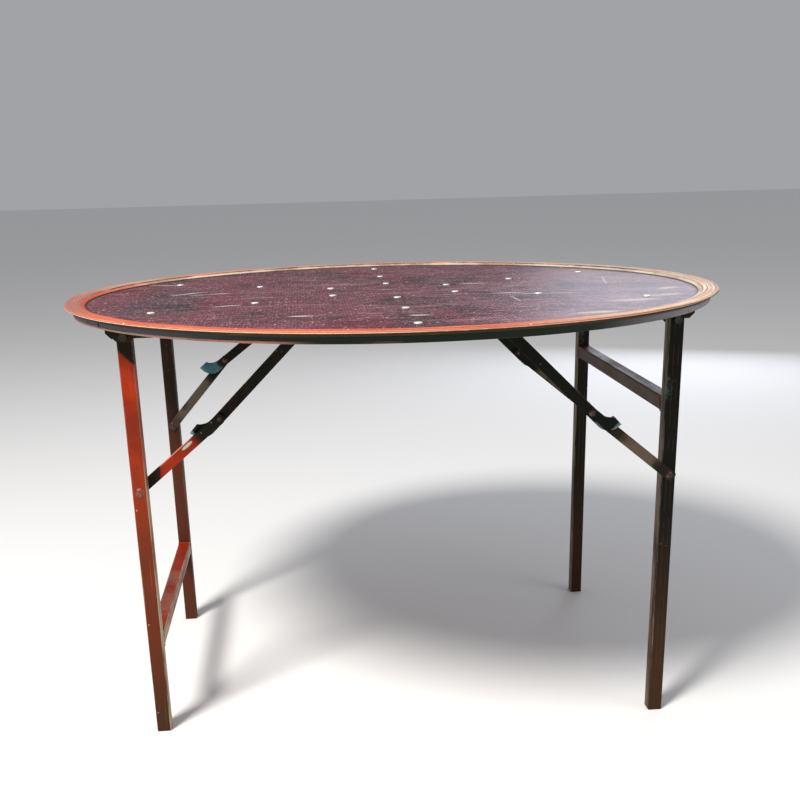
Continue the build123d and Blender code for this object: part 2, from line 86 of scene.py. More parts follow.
class Paint:
    """One procedural material; most methods add nodes and return an output socket."""

    def __init__(self, name):
        self.material = bpy.data.materials.new(name)
        self.material.use_nodes = True
        self.tree = self.material.node_tree
        self.tree.nodes.clear()
        self.position = self.add("ShaderNodeTexCoord").outputs["Object"]
        split = self.add("ShaderNodeSeparateXYZ", {0: self.position})
        self.x, self.y, self.z = split.outputs

    def add(self, kind, inputs=None, **settings):
        node = self.tree.nodes.new(kind)
        for key, value in settings.items():
            setattr(node, key, value)
        for key, value in (inputs or {}).items():
            self.feed(node.inputs[key], value)
        return node

    def feed(self, socket, value):
        """Links a socket to a socket, or sets it to a plain value."""
        if isinstance(value, bpy.types.NodeSocket):
            self.tree.links.new(value, socket)
        else:
            socket.default_value = value

    def math(self, operation, first, second=0.0):
        return self.add("ShaderNodeMath", {0: first, 1: second}, operation=operation).outputs[0]

    def times(self, *values):
        product = values[0]
        for value in values[1:]:
            product = self.math("MULTIPLY", product, value)
        return product

    def plus(self, *values):
        total = values[0]
        for value in values[1:]:
            total = self.math("ADD", total, value)
        return total

    def highest(self, first, second):
        return self.math("MAXIMUM", first, second)

    def step(self, value, low, high):
        """0 at low, 1 at high, smooth between; low may be the larger of the two."""
        node = self.add("ShaderNodeMapRange", interpolation_type="SMOOTHSTEP")
        self.feed(node.inputs["Value"], value)
        self.feed(node.inputs["From Min"], low)
        self.feed(node.inputs["From Max"], high)
        return node.outputs[0]

    def band(self, value, low, high, soft):
        """1 between low and high, fading over soft outside them."""
        return self.times(self.step(value, low - soft, low), self.step(value, high + soft, high))

    def oval(self, lengthwise, half_length, sideways, half_width):
        """0 at the middle of an ellipse and 1 on its outline."""
        u = self.math("DIVIDE", lengthwise, half_length)
        v = self.math("DIVIDE", sideways, half_width)
        return self.plus(self.times(u, u), self.times(v, v))

    def stretch(self, scale, turn=0.0):
        """Object coordinates turned about Z by turn degrees and then scaled."""
        turned = self.add(
            "ShaderNodeVectorRotate",
            {"Vector": self.position, "Angle": math.radians(turn)},
            rotation_type="Z_AXIS",
        )
        scaled = self.add("ShaderNodeVectorMath", {0: turned.outputs[0], 1: scale})
        scaled.operation = "MULTIPLY"
        return scaled.outputs[0]

    def round_coordinates(self, along=1.0, across=1.0, up=1.0):
        """Coordinates along the rim, across it and up, in metres times the given scales."""
        node = self.add("ShaderNodeCombineXYZ")
        angle = self.math("ARCTAN2", self.y, self.x)
        self.feed(node.inputs[0], self.times(angle, RIM_RADIUS * along))
        self.feed(node.inputs[1], self.times(self.radius(), across))
        self.feed(node.inputs[2], self.times(self.z, up))
        return node.outputs[0]

    def radius(self):
        squares = self.plus(self.times(self.x, self.x), self.times(self.y, self.y))
        return self.math("SQRT", squares)

    def facing(self, degrees, full, none):
        """1 within full degrees of a direction from the table's centre, 0 beyond none degrees."""
        angle = math.radians(degrees)
        across = self.plus(self.times(self.x, math.cos(angle)), self.times(self.y, math.sin(angle)))
        cosine = self.math("DIVIDE", across, self.radius())
        return self.step(cosine, math.cos(math.radians(none)), math.cos(math.radians(full)))

    def along(self, origin, direction):
        """Distance from origin along a unit direction."""
        node = self.add("ShaderNodeVectorMath", {0: self.position, 1: tuple(direction)})
        node.operation = "DOT_PRODUCT"
        return self.math("SUBTRACT", node.outputs["Value"], origin.dot(direction))

    def from_point(self, point):
        """Distance from a point."""
        node = self.add("ShaderNodeVectorMath", {0: self.position, 1: tuple(point)})
        node.operation = "DISTANCE"
        return node.outputs["Value"]

    def noise(self, scale, detail=4.0, roughness=0.55, vector=None, distortion=0.0):
        node = self.add("ShaderNodeTexNoise")
        self.feed(node.inputs["Vector"], vector or self.position)
        self.feed(node.inputs["Scale"], scale)
        self.feed(node.inputs["Detail"], detail)
        self.feed(node.inputs["Roughness"], roughness)
        self.feed(node.inputs["Distortion"], distortion)
        return node.outputs[0]

    def ragged(self, noise, width):
        """An offset of about half a width each way, to make an edge uneven."""
        return self.times(self.plus(noise, -0.5), width)

    def specks(self, scale, size, share):
        """Small round dots: size is their radius in cells, share the part of cells with one."""
        cell = self.add("ShaderNodeTexVoronoi", {"Scale": scale, "Vector": self.position})
        chosen = self.add("ShaderNodeSeparateColor", {0: cell.outputs["Color"]}).outputs[0]
        dot = self.step(cell.outputs["Distance"], size, size * 0.6)
        return self.times(dot, self.math("LESS_THAN", chosen, share))

    def mix(self, factor, first, second):
        node = self.add("ShaderNodeMix", {0: factor, 6: first, 7: second}, data_type="RGBA")
        return node.outputs[2]

    def bump(self, height, distance, normal=None):
        node = self.add("ShaderNodeBump", {"Height": height, "Distance": distance})
        if normal is not None:
            self.feed(node.inputs["Normal"], normal)
        return node.outputs[0]

    def finish(self, colour, roughness, normal=None, metallic=0.0, specular=0.5):
        """Adds the shader and the output, and returns the material."""
        shader = self.add(
            "ShaderNodeBsdfPrincipled", {"Base Color": colour, "Roughness": roughness}
        )
        shader.inputs["Metallic"].default_value = metallic
        shader.inputs["Specular IOR Level"].default_value = specular
        if normal is not None:
            self.feed(shader.inputs["Normal"], normal)
        self.add("ShaderNodeOutputMaterial", {"Surface": shader.outputs[0]})
        return self.material


def dress(material, *names):
    """Gives a CAD node, or each of several, its material."""
    for name in names:
        nodes[name].data.materials.clear()
        nodes[name].data.materials.append(material)


# ---------------------------------------------------------------- film on the board


# Each long scuff: its centre in X and Y, half length, turn in degrees, and half width.
LONG_SCUFFS = (
    (-0.455, 0.255, 0.060, -25, 0.0060),
    (-0.390, 0.060, 0.050, 40, 0.0080),
    (-0.345, 0.040, 0.055, 15, 0.0060),
    (-0.173, -0.350, 0.026, -12, 0.0110),
    (-0.300, -0.170, 0.035, 20, 0.0070),
    (0.205, -0.112, 0.040, 0, 0.0080),
    (0.270, -0.140, 0.075, -8, 0.0060),
    (0.168, 0.080, 0.040, 5, 0.0080),
    (0.014, -0.390, 0.022, 8, 0.0110),
    (0.385, -0.285, 0.060, 4, 0.0240),
    (0.463, -0.225, 0.045, 14, 0.0200),
    (0.500, -0.120, 0.035, 40, 0.0160),
    (0.430, 0.065, 0.085, 78, 0.0035),
    (0.285, -0.430, 0.055, 12, 0.0180),
    (0.200, -0.205, 0.050, 92, 0.0030),
)
MESH_PITCH = 0.0052


def film_stains(paint, cloud, painted_glare):
    """Wine red in clouds, crimson bands, one dark patch, and blue-violet painted glare at the right
    front.
    """
    colour = paint.mix(paint.step(cloud, 0.38, 0.62), rgb(104, 22, 38), rgb(64, 19, 29))
    bands = paint.noise(1.0, 3.0, 0.55, paint.stretch((8.0, 2.4, 1.0), -6.0))
    left_share = paint.plus(0.25, paint.times(paint.step(paint.x, 0.42, -0.1), 0.75))
    crimson = paint.times(paint.step(bands, 0.47, 0.62), left_share)
    colour = paint.mix(paint.times(crimson, 0.8), colour, rgb(108, 22, 40))
    from_patch = paint.along(Vector((-0.415, 0, 0)), ALONG_X)
    dark_patch = paint.times(
        paint.band(from_patch, -0.035, 0.035, 0.06), paint.band(paint.y, -0.24, 0.10, 0.08)
    )
    colour = paint.mix(paint.times(dark_patch, 0.55), colour, rgb(46, 32, 40))
    # painted glare: blue-violet over the right front of the film, broken up by the clouds
    clouded_painted_glare = paint.times(painted_glare, paint.step(cloud, 0.36, 0.60), 0.65)
    return paint.mix(clouded_painted_glare, colour, rgb(84, 82, 110))


def film_haze(paint, colour, grain, painted_glare):
    """Pale streaks of haze, with dark hollows between them; the haze that grows towards the right
    and at the right front is painted glare.
    """
    # more haze towards the right and at the right front: painted glare
    amount = paint.plus(
        0.24, paint.times(paint.step(paint.x, -0.30, 0.15), 0.18), paint.times(painted_glare, 0.35)
    )
    haze = paint.times(paint.step(grain, 0.49, 0.62), amount)
    colour = paint.mix(haze, colour, rgb(154, 124, 134))
    hollow = paint.step(grain, 0.50, 0.40)
    return paint.mix(paint.times(hollow, 0.6), colour, rgb(34, 14, 22))


def film_mesh(paint):
    """The height of the pressed mesh: the higher of two waves, from -1 to 1."""
    wave = 2 * math.pi / MESH_PITCH
    return paint.highest(
        paint.math("SINE", paint.times(paint.x, wave)),
        paint.math("SINE", paint.times(paint.y, wave)),
    )


def film_print(paint, colour, mesh, cloud, painted_glare):
    """The mesh shows as pale wires and dark gaps; the strong wires and gaps at the right front are
    painted glare on the mesh.
    """
    uneven = paint.step(cloud, 0.62, 0.42)
    # extra contrast of the mesh at the right front: painted glare
    wires = paint.times(
        paint.step(mesh, 0.2, 0.9), uneven, paint.plus(0.09, paint.times(painted_glare, 0.55))
    )
    colour = paint.mix(wires, colour, rgb(176, 168, 186))
    gaps = paint.times(
        paint.step(mesh, 0.3, -0.3), uneven, paint.plus(0.08, paint.times(painted_glare, 0.6))
    )
    return paint.mix(gaps, colour, rgb(40, 34, 52))


def film_speckle(paint, colour):
    """Fine dark grain, and short pale and dark specks along the table."""
    fine = paint.noise(95.0, 5.0, 0.75)
    colour = paint.mix(paint.times(paint.step(fine, 0.51, 0.62), 0.6), colour, rgb(26, 14, 20))
    speckle = paint.noise(1.0, 4.0, 0.7, paint.stretch((210.0, 115.0, 1.0)))
    pale = paint.times(paint.step(speckle, 0.56, 0.66), 0.42)
    colour = paint.mix(pale, colour, rgb(186, 160, 166))
    dark = paint.times(paint.step(speckle, 0.46, 0.36), 0.65)
    return paint.mix(dark, colour, rgb(22, 10, 16))


def film_scuffs(paint):
    """White scuffs: fine ones in three directions, and the long ones."""
    streak = paint.noise(1.0, 8.0, 0.78, paint.stretch((3.2, 70.0, 1.0), 2.0))
    crossing = paint.noise(1.0, 7.0, 0.75, paint.stretch((3.4, 95.0, 1.0), -24.0))
    swirl = paint.noise(1.0, 7.0, 0.75, paint.stretch((3.0, 90.0, 1.0), 31.0), 0.3)
    patch = paint.step(paint.noise(5.5, 3.0), 0.40, 0.60)
    scuffs = paint.times(paint.step(streak, 0.58, 0.70), patch, 0.8)
    scuffs = paint.highest(scuffs, paint.times(paint.step(crossing, 0.62, 0.72), 0.5))
    scuffs = paint.highest(scuffs, paint.times(paint.step(swirl, 0.63, 0.73), 0.45))
    broken = paint.step(paint.noise(1.0, 6.0, 0.75, paint.stretch((18.0, 150.0, 1.0))), 0.3, 0.6)
    for centre_x, centre_y, half_length, turn, half_width in LONG_SCUFFS:
        centre = Vector((centre_x, centre_y, 0))
        direction = Vector((math.cos(math.radians(turn)), math.sin(math.radians(turn)), 0))
        sideways = Vector((-direction.y, direction.x, 0))
        oval = paint.oval(
            paint.along(centre, direction), half_length, paint.along(centre, sideways), half_width
        )
        scuffs = paint.highest(scuffs, paint.times(paint.step(oval, 1.0, 0.1), broken, 0.8))
    return scuffs


def film_face():
    """Mesh-pressed film: wine-coloured, hazed, scuffed white along the table and speckled, with
    painted glare at the right front.
    """
    paint = Paint("film_face")
    cloud = paint.noise(1.0, 6.0, 0.65, paint.stretch((5.0, 7.0, 1.0), 12.0), 0.4)
    grain = paint.noise(1.0, 8.0, 0.78, paint.stretch((15.0, 58.0, 1.0), 3.0))
    # mask of the painted glare at the right front of the film
    painted_glare = paint.times(paint.step(paint.x, -0.05, 0.50), paint.step(paint.y, 0.45, -0.35))
    mesh = film_mesh(paint)
    colour = film_stains(paint, cloud, painted_glare)
    colour = film_haze(paint, colour, grain, painted_glare)
    colour = film_print(paint, colour, mesh, cloud, painted_glare)
    colour = film_speckle(paint, colour)
    scuffs = film_scuffs(paint)
    dust = paint.highest(paint.specks(70.0, 0.17, 0.30), paint.specks(150.0, 0.2, 0.22))
    pale = paint.highest(scuffs, paint.times(dust, 0.75))
    colour = paint.mix(paint.times(pale, 0.85), colour, rgb(222, 212, 210))
    near_rim = paint.step(paint.radius(), SKIN_RADIUS - 0.007, SKIN_RADIUS - 0.001)
    colour = paint.mix(paint.times(near_rim, 0.8), colour, rgb(34, 18, 20))

    normal = paint.bump(mesh, 0.00016)
    normal = paint.bump(scuffs, 0.0001, normal)
    normal = paint.bump(paint.noise(9.0, 3.0), 0.0012, normal)
    roughness = paint.plus(0.34, paint.times(grain, 0.2), paint.times(pale, 0.25))
    return paint.finish(colour, roughness, normal, specular=0.16)


# ---------------------------------------------------------------- rim, apron and board


def rim_coat(paint, along, blotch, crumb):
    """Salmon orange with greyish-pink painted glare at the left, cream at the back, worn to cream
    on the right, with white painted glints there.
    """
    colour = paint.mix(paint.step(blotch, 0.38, 0.64), rgb(204, 92, 54), rgb(176, 66, 40))
    faded = paint.times(paint.step(along, 0.48, 0.66), 0.55)
    colour = paint.mix(faded, colour, rgb(222, 150, 118))
    crumbs = paint.times(paint.step(crumb, 0.52, 0.66), 0.35)
    colour = paint.mix(crumbs, colour, rgb(232, 182, 152))
    # painted glare: greyish pink over the left end of the rim
    left = paint.facing(180, 14, 34)
    colour = paint.mix(paint.times(left, 0.75), colour, rgb(146, 108, 100))
    back = paint.facing(90, 66, 92)
    colour = paint.mix(paint.times(back, paint.step(along, 0.44, 0.58), 0.75), colour, CREAM)
    right = paint.facing(-8, 40, 74)
    worn = paint.plus(0.55, paint.times(paint.step(along, 0.38, 0.56), 0.45))
    colour = paint.mix(paint.times(right, worn), colour, rgb(214, 186, 158))
    lines = paint.noise(1.0, 3.0, 0.6, paint.round_coordinates(1.6, 620.0, 1.0))
    rings = paint.times(paint.step(lines, 0.47, 0.54), paint.plus(0.2, paint.times(right, 0.7)))
    colour = paint.mix(rings, colour, rgb(112, 64, 50))
    # painted glints: white highlights on the right of the rim
    painted_glints = paint.times(paint.step(lines, 0.44, 0.37), right, paint.step(blotch, 0.42, 0.56))
    return paint.mix(paint.times(painted_glints, 0.9), colour, rgb(248, 240, 228))


def rim_outer_edge(paint, colour, along, blotch, edge_radius):
    """Worn outer edge and side; in front the side stays orange, with a cream painted highlight
    along its foot.
    """
    left = paint.facing(180, 14, 34)
    front = paint.facing(245, 52, 80)
    edge = paint.step(edge_radius, RIM_RADIUS - 0.0020, RIM_RADIUS - 0.0008)
    amount = paint.plus(0.9, paint.times(left, -0.5))
    edge = paint.times(edge, paint.step(blotch, 0.30, 0.46), amount)
    edge = paint.times(edge, paint.plus(1.0, paint.times(front, -0.8)))
    colour = paint.mix(edge, colour, CREAM)

    side_colour = paint.mix(paint.step(along, 0.45, 0.6), rgb(88, 74, 48), rgb(150, 112, 84))
    side_colour = paint.mix(paint.times(front, 0.95), side_colour, rgb(178, 74, 40))
    # painted highlight: a cream line along the foot of the side, in front
    foot = paint.step(paint.z, RIM_BOTTOM + 0.0019, RIM_BOTTOM + 0.0011)
    side_colour = paint.mix(paint.times(foot, front), side_colour, CREAM)
    below_top = paint.step(paint.z, TABLE_TOP - 0.0006, TABLE_TOP - 0.0011)
    outermost = paint.step(paint.radius(), RIM_RADIUS - 0.0012, RIM_RADIUS - 0.0004)
    return paint.mix(paint.times(below_top, outermost, 0.9), colour, side_colour)


def rim_inner_edge(paint, colour, along, blotch, edge_radius):
    """A dark painted shadow line at the back, a pale or orange bevel, and darker paint where it
    meets the film.
    """
    # painted shadow: a dark line along the inner step, at the back
    thin_band = paint.band(edge_radius, SKIN_RADIUS + 0.0080, SKIN_RADIUS + 0.0112, 0.0012)
    thin_band = paint.times(thin_band, paint.facing(95, 66, 88), paint.step(blotch, 0.36, 0.5))
    colour = paint.mix(paint.times(thin_band, 0.85), colour, rgb(62, 52, 38))
    bevel = paint.step(edge_radius, SKIN_RADIUS + 0.0072, SKIN_RADIUS + 0.0058)
    pale = paint.times(
        paint.highest(paint.facing(85, 74, 84), paint.facing(-20, 36, 62)),
        paint.step(along, 0.30, 0.46),
    )
    pale_colour = paint.mix(paint.step(blotch, 0.4, 0.6), rgb(206, 200, 184), rgb(150, 140, 118))
    colour = paint.mix(paint.times(bevel, pale, 0.9), colour, pale_colour)
    orange = paint.times(bevel, paint.facing(218, 56, 76))
    colour = paint.mix(paint.times(orange, 0.8), colour, rgb(200, 74, 36))
    # darker towards the film's edge
    darker_join = paint.step(paint.radius(), SKIN_RADIUS + 0.0018, SKIN_RADIUS + 0.0004)
    return paint.mix(paint.times(darker_join, 0.8), colour, rgb(52, 26, 24))


def rim_paint():
    """Salmon-orange paint on the rim, worn to cream along its edges and on the right, with painted
    glare at the left, painted glints at the right, a painted highlight along the front foot and a
    painted shadow line at the back.
    """
    paint = Paint("rim_paint")
    along = paint.noise(1.0, 6.0, 0.7, paint.round_coordinates(6.0, 420.0, 160.0))
    blotch = paint.noise(9.0, 6.0, 0.65)
    crumb = paint.noise(320.0, 4.0, 0.7)
    edge_radius = paint.plus(paint.radius(), paint.ragged(paint.noise(60.0, 5.0, 0.75), 0.006))
    colour = rim_coat(paint, along, blotch, crumb)
    colour = rim_outer_edge(paint, colour, along, blotch, edge_radius)
    colour = rim_inner_edge(paint, colour, along, blotch, edge_radius)
    scratches = paint.noise(1.0, 4.0, 0.6, paint.round_coordinates(9.0, 900.0, 1.0))
    scratches = paint.times(paint.step(scratches, 0.62, 0.70), 0.55)
    colour = paint.mix(scratches, colour, rgb(96, 56, 44))
    chips = paint.specks(120.0, 0.22, 0.10)
    colour = paint.mix(paint.times(chips, 0.8), colour, rgb(235, 225, 205))
    normal = paint.bump(along, 0.0006)
    normal = paint.bump(crumb, 0.0004, normal)
    roughness = paint.plus(0.46, paint.times(along, 0.22))
    return paint.finish(colour, roughness, normal, specular=0.2)


def lip_paint():
    """Olive paint under the rim's overhang, scratched along the edge."""
    paint = Paint("lip_paint")
    along = paint.noise(1.0, 5.0, 0.65, paint.round_coordinates(8.0, 300.0, 700.0))
    colour = paint.mix(paint.noise(14.0, 4.0), rgb(48, 46, 28), rgb(66, 60, 40))
    scratches = paint.times(paint.step(along, 0.6, 0.7), 0.6)
    colour = paint.mix(scratches, colour, rgb(150, 136, 106))
    normal = paint.bump(along, 0.0004)
    return paint.finish(colour, paint.plus(0.45, paint.times(along, 0.2)), normal, specular=0.2)


def apron_paint():
    """Dark green paint, grey towards both ends as painted sky reflection, a pink painted sunlit
    strip along the lower edge at the left front, and worn brown in patches along the lower edge.
    """
    paint = Paint("apron_paint")
    along = paint.noise(1.0, 6.0, 0.6, paint.round_coordinates(5.0, 200.0, 260.0))
    cloud = paint.noise(6.0, 4.0, 0.6)
    colour = paint.mix(paint.step(cloud, 0.35, 0.65), rgb(18, 30, 18), rgb(28, 34, 26))
    # painted reflection: blue-grey sky at the left end, pale grey sky at the right end
    colour = paint.mix(paint.times(paint.facing(196, 22, 54), 0.8), colour, rgb(84, 86, 98))
    colour = paint.mix(paint.times(paint.facing(-20, 8, 46), 0.85), colour, rgb(150, 146, 152))
    streak = paint.times(paint.step(along, 0.56, 0.68), 0.3)
    colour = paint.mix(streak, colour, rgb(88, 74, 62))

    # painted sunlight: a pink strip along the lower edge at the left front, below the rim's shadow
    edge_height = paint.plus(paint.z, paint.ragged(along, 0.004))
    edge = paint.step(edge_height, APRON_BOTTOM + 0.0042, APRON_BOTTOM + 0.0030)
    sunlit_colour = paint.mix(paint.step(along, 0.42, 0.6), rgb(190, 102, 84), rgb(166, 132, 112))
    colour = paint.mix(paint.times(edge, paint.facing(219, 27, 37), 0.95), colour, sunlit_colour)
    patchy = paint.times(edge, paint.step(cloud, 0.5, 0.6))
    colour = paint.mix(paint.times(patchy, 0.5), colour, rgb(120, 84, 66))

    # Two old nail holes at the right front: direction in degrees, height, and radius.
    for degrees, height, size in ((326, 0.7495, 0.0030), (320.3, 0.7450, 0.0020)):
        angle = math.radians(degrees)
        hole = Vector((APRON_RADIUS * math.cos(angle), APRON_RADIUS * math.sin(angle), height))
        mark = paint.step(paint.from_point(hole), size, size * 0.6)
        colour = paint.mix(mark, colour, rgb(10, 8, 8))
    normal = paint.bump(along, 0.0006)
    normal = paint.bump(paint.noise(180.0, 4.0), 0.0003, normal)
    roughness = paint.plus(0.38, paint.times(cloud, 0.25))
    return paint.finish(colour, roughness, normal, specular=0.2)


def plywood():
    """The board's brown underside: face veneer along X under a thin brown film."""
    paint = Paint("plywood")
    vein = paint.noise(1.0, 7.0, 0.65, paint.stretch((2.5, 60.0, 60.0), 1.5), 0.6)
    pores = paint.noise(1.0, 3.0, 0.5, paint.stretch((60.0, 900.0, 900.0)))
    colour = paint.mix(paint.step(vein, 0.35, 0.65), rgb(122, 84, 56), rgb(84, 54, 36))
    colour = paint.mix(paint.times(paint.step(pores, 0.55, 0.7), 0.5), colour, rgb(52, 34, 24))
    stain = paint.step(paint.noise(4.0, 4.0), 0.5, 0.7)
    colour = paint.mix(paint.times(stain, 0.5), colour, rgb(60, 42, 32))
    normal = paint.bump(paint.plus(vein, pores), 0.0004)
    return paint.finish(colour, paint.plus(0.55, paint.times(vein, 0.2)), normal, specular=0.3)


# ---------------------------------------------------------------- painted steel


def lengthwise(long_axis, along, across):
    """Noise scales for a bar: one along it and one across it."""
    return tuple(along if axis == long_axis else across for axis in range(3))


def tube_edges(paint, colour, streak, tube, long_axis, bare):
    """Rubs the paint off along a square tube's four edges."""
    low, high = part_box(tube)
    axes = [axis for axis in range(3) if axis != long_axis]
    offsets = []
    for axis in axes:
        position = (paint.x, paint.y, paint.z)[axis]
        middle = (low[axis] + high[axis]) / 2
        offsets.append(paint.math("ABSOLUTE", paint.plus(position, -middle)))
    half = min((high[axis] - low[axis]) / 2 for axis in axes)
    nearest = paint.plus(paint.math("MINIMUM", *offsets), paint.ragged(streak, 0.010))
    edge = paint.step(nearest, half - 0.0020, half - 0.0004)
    return paint.mix(paint.times(edge, 0.4), colour, bare)


def inner_face(paint, colour, streak, tube, long_axis, side):
    """Wears the face towards the middle of the table; on a left leg only its lower half."""
    low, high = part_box(tube)
    on_left = high.x < 0
    inner_x = high.x if on_left else low.x
    gap = paint.math("ABSOLUTE", paint.plus(paint.x, -inner_x))
    worn = paint.times(paint.step(gap, 0.0022, 0.0010), paint.step(streak, 0.38, 0.54))
    below = paint.step(paint.z, 0.56, 0.40) if on_left and long_axis == Z_AXIS else 1.0
    return paint.mix(paint.times(worn, below, 0.85), colour, side)


def steel_paint(name, coat, second, bare, long_axis, wear=0.5, tube=None, side=None, extra=None):
    """Painted tube or bar: mottled coat, a second colour showing through, chips, scratches.

    tube is a square tube's node name, for wear along its edges.
    side is the colour of the tube's worn face towards the middle of the table.
    extra(paint, colour) may add marks of its own.
    """
    paint = Paint(name)
    streak = paint.noise(1.0, 6.0, 0.68, paint.stretch(lengthwise(long_axis, 5.0, 46.0)))
    cloud = paint.noise(9.0, 5.0, 0.6)
    fine = paint.noise(220.0, 4.0, 0.6)
    dark = tuple(channel * 0.62 for channel in coat[:3]) + (1.0,)
    colour = paint.mix(paint.step(cloud, 0.38, 0.64), coat, dark)
    through = paint.step(paint.plus(paint.times(streak, 0.6), paint.times(cloud, 0.4)), 0.47, 0.6)
    colour = paint.mix(paint.times(through, wear), colour, second)
    colour = paint.mix(paint.times(paint.step(fine, 0.52, 0.72), 0.4), colour, dark)
    if extra:
        colour = extra(paint, colour)
    if tube:
        colour = tube_edges(paint, colour, streak, tube, long_axis, bare)
    if side:
        colour = inner_face(paint, colour, streak, tube, long_axis, side)
    chips = paint.specks(110.0, 0.18, 0.10)
    colour = paint.mix(paint.times(chips, 0.7), colour, bare)
    scratch = paint.noise(1.0, 3.0, 0.5, paint.stretch(lengthwise(long_axis, 9.0, 700.0)))
    colour = paint.mix(paint.times(paint.step(scratch, 0.69, 0.76), 0.3), colour, bare)
    normal = paint.bump(streak, 0.0007)
    normal = paint.bump(fine, 0.00025, normal)
    roughness = paint.plus(0.36, paint.times(cloud, 0.2), paint.times(through, 0.1))
    return paint.finish(colour, roughness, normal, specular=0.1)


def several(*extras):
    """Extra that applies each of the given ones in turn."""

    def extra(paint, colour):
        for each in extras:
            colour = each(paint, colour)
        return colour

    return extra


def fade_down(low_colour, low, high):
    """Extra for a leg: the paint turns towards another colour near the foot."""

    def extra(paint, colour):
        return paint.mix(paint.times(paint.step(paint.z, high, low), 0.8), colour, low_colour)

    return extra


def painted_top_shadow(paint, colour):
    """Extra for the front left leg: painted shadow of the table top, dark green above a line that
    slants across the leg.
    """
    low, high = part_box("left_front_leg")
    left_height, right_height = 0.703, 0.677
    slope = (right_height - left_height) / (high.x - low.x)
    line = paint.plus(paint.times(paint.x, slope), left_height - low.x * slope)
    above = paint.plus(paint.z, paint.times(line, -1.0))
    # painted shadow of the table top over the leg's top
    return paint.mix(paint.times(paint.step(above, -0.002, 0.002), 0.96), colour, DARK_GREEN)


def leg_marks(tube, low_colour, patch_colour):
    """Extra for a right leg: weld seams down the front face, a worn mark, a browner foot."""
    seam_shares = (0.38, 0.70)
    patch_height = 0.610

    def extra(paint, colour):
        low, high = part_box(tube)
        colour = fade_down(low_colour, 0.05, 0.42)(paint, colour)
        front = paint.step(paint.y, low.y + 0.0012, low.y + 0.0004)
        for share in seam_shares:
            seam_x = low.x + (high.x - low.x) * share
            thin_band = paint.band(paint.x, seam_x - 0.0005, seam_x + 0.0005, 0.0008)
            broken = paint.step(paint.noise(22.0, 4.0), 0.42, 0.56)
            colour = paint.mix(paint.times(thin_band, front, broken, 0.28), colour, rgb(92, 54, 40))
        mark = paint.times(
            paint.band(paint.z, patch_height - 0.014, patch_height + 0.014, 0.010),
            paint.step(paint.x, low.x + 0.016, low.x + 0.010),
        )
        patchy = paint.step(paint.noise(110.0, 5.0, 0.7), 0.46, 0.58)
        return paint.mix(paint.times(mark, patchy, 0.5), colour, patch_colour)

    return extra


def patch_along(origin, direction, start, end, patch_colour, strength, soft=0.020):
    """Extra for a bar: a patch of another colour between two distances from a point along it: worn
    paint on the crossbars, painted sunlight on two lower links, teal on a hook's tail.
    """

    def extra(paint, colour):
        ragged = paint.ragged(paint.noise(60.0, 5.0, 0.7), 0.02)
        distance = paint.plus(paint.along(origin, direction), ragged)
        mask = paint.band(distance, start, end, soft)
        patchy = paint.step(paint.noise(25.0, 4.0), 0.28, 0.5)
        return paint.mix(paint.times(mask, patchy, strength), colour, patch_colour)

    return extra


def painted_knee_shadow(knee, down):
    """Extra for a lower link: painted shadow, dark green, from the knee to just past the hook's
    tip.
    """
    end = TAIL_TIP + 0.003
    soft = 0.010

    def extra(paint, colour):
        ragged = paint.ragged(paint.noise(90.0, 4.0, 0.7), 0.01)
        distance = paint.plus(paint.along(knee, down), ragged)
        # painted shadow under the hook: dark green from the knee
        mask = paint.step(distance, end + soft, end - soft)
        return paint.mix(paint.times(mask, 0.97), colour, DARK_GREEN)

    return extra


def above(direction):
    """The upward unit direction square to one in the XZ plane."""
    across = Vector((-direction.z, 0, direction.x))
    return -across if across.z < 0 else across


def left_front_link_marks(knee, down):
    """Extra for the front left lower link: a bare chip, a painted highlight along the top edge, and
    painted shadow of the leg at its foot.
    """
    chip_distance, chip_half_length = 0.072, 0.013
    chip_height, chip_half_width = 0.0035, 0.0030
    foot_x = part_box("left_front_leg")[1].x + 0.024

    def extra(paint, colour):
        distance = paint.along(knee, down)
        height = paint.along(knee, above(down))
        oval = paint.oval(
            paint.plus(distance, -chip_distance), chip_half_length,
            paint.plus(height, -chip_height), chip_half_width,
        )
        ragged = paint.ragged(paint.noise(120.0, 4.0, 0.7), 0.9)
        chip = paint.step(paint.plus(oval, ragged), 1.0, 0.6)
        colour = paint.mix(paint.times(chip, 0.85), colour, rgb(172, 176, 162))
        # painted highlight: a pale line along the link's top edge
        edge = paint.times(paint.step(height, 0.0070, 0.0086), paint.step(distance, 0.056, 0.066))
        colour = paint.mix(paint.times(edge, 0.8), colour, rgb(206, 142, 122))
        # painted shadow: dark green where the leg shades the link's foot
        foot = paint.step(paint.x, foot_x, foot_x - 0.004)
        return paint.mix(paint.times(foot, 0.95), colour, DARK_GREEN)

    return extra


def hook_marks(knee, along_tail, end_colour):
    """Extra for an upper link: light blue painted highlights on the lower edge and tip of the tail,
    and a pale top edge.
    """

    def extra(paint, colour):
        distance = paint.along(knee, along_tail)
        height = paint.along(knee, above(along_tail))
        ragged = paint.ragged(paint.noise(140.0, 4.0, 0.7), 0.004)
        # painted highlight: light blue on the tip of the tail
        tip = paint.step(paint.plus(distance, ragged), TAIL_TIP - 0.007, TAIL_TIP - 0.002)
        colour = paint.mix(paint.times(tip, 0.9), colour, end_colour)
        # painted highlight: light blue along the tail's lower edge
        tail = paint.times(paint.step(distance, 0.008, 0.020), paint.step(height, -0.004, -0.008))
        patchy = paint.step(paint.noise(90.0, 4.0), 0.40, 0.56)
        colour = paint.mix(paint.times(tail, patchy, 0.75), colour, end_colour)
        top = paint.times(paint.step(height, 0.0078, 0.0088), paint.step(distance, 0.002, -0.006))
        broken = paint.step(paint.noise(30.0, 4.0), 0.46, 0.58)
        return paint.mix(paint.times(top, broken, 0.6), colour, rgb(150, 104, 84))

    return extra


